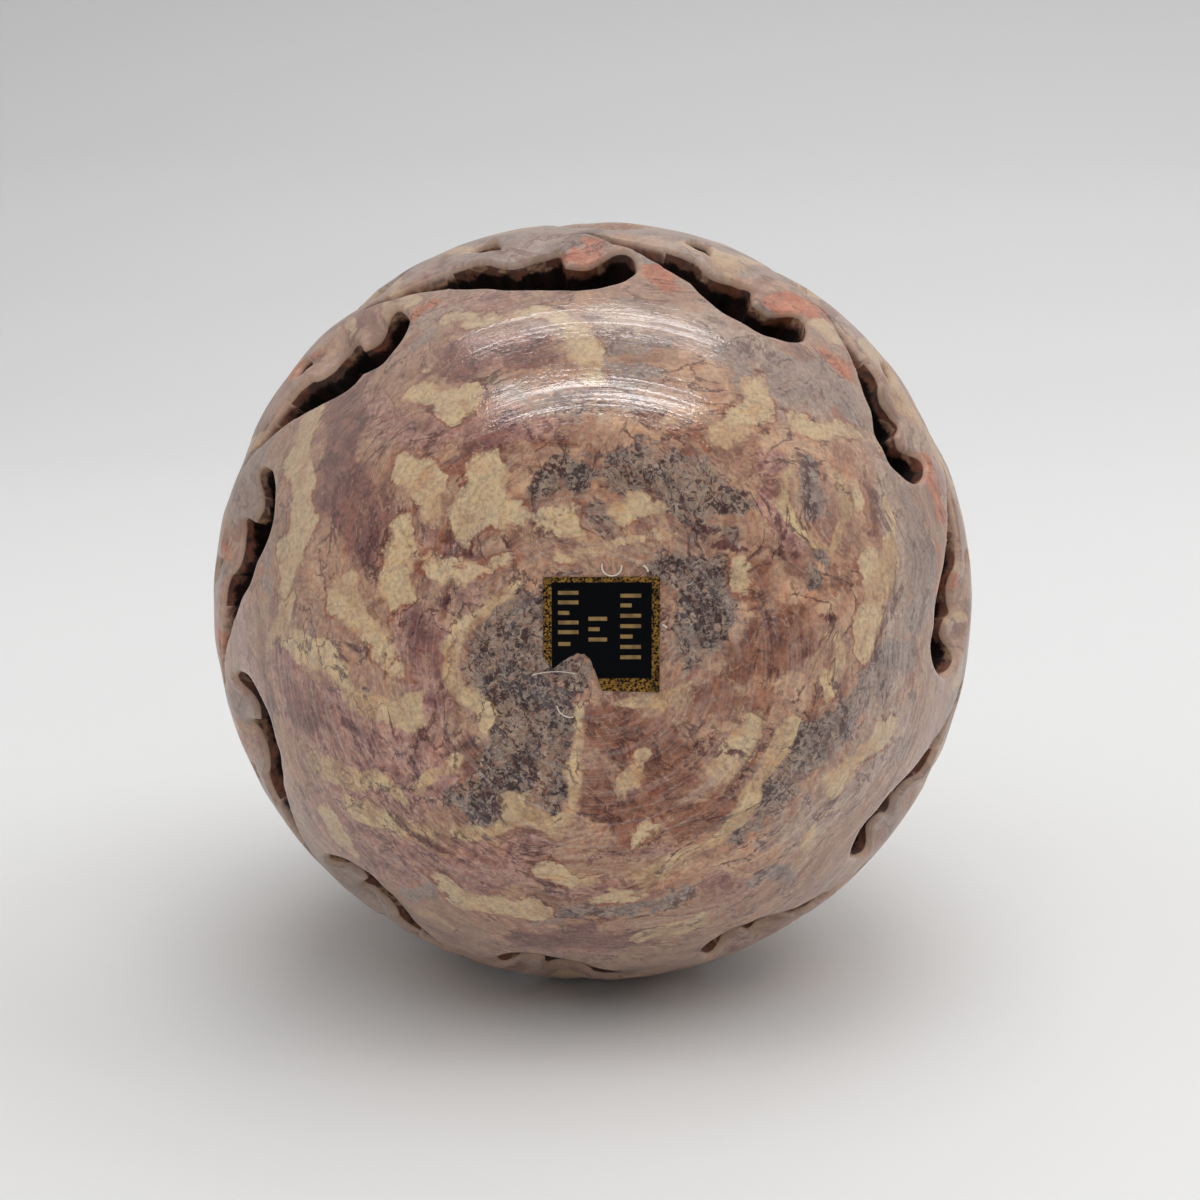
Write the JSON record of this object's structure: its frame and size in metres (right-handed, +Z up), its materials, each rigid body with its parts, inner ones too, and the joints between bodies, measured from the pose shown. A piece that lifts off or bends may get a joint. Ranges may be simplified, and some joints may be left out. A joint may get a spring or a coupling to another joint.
{
  "type": "soapstone egg sculpture",
  "caption": "Hollow carved egg of banded soapstone lying on its side: plain polished fat end with a small torn label, swirled openwork over the rest",
  "frame": {"origin": "centre of the bounding box in X and Y, on the surface the egg lies on", "axes": "+Z up; the egg's long axis runs along Y with its slender tip at +Y and its ground base at -Y; +X to the right when looking at the base"},
  "size_m": [0.0599, 0.0782, 0.0594],
  "materials": {
    "soapstone": "semi-gloss polish outside, rough tool-cut stone inside the openings",
    "label_paper": "satin black with a gold border"
  },
  "bodies": {
    "root": {"egg": "soapstone", "label": "label_paper"}
  },
  "joints": []
}
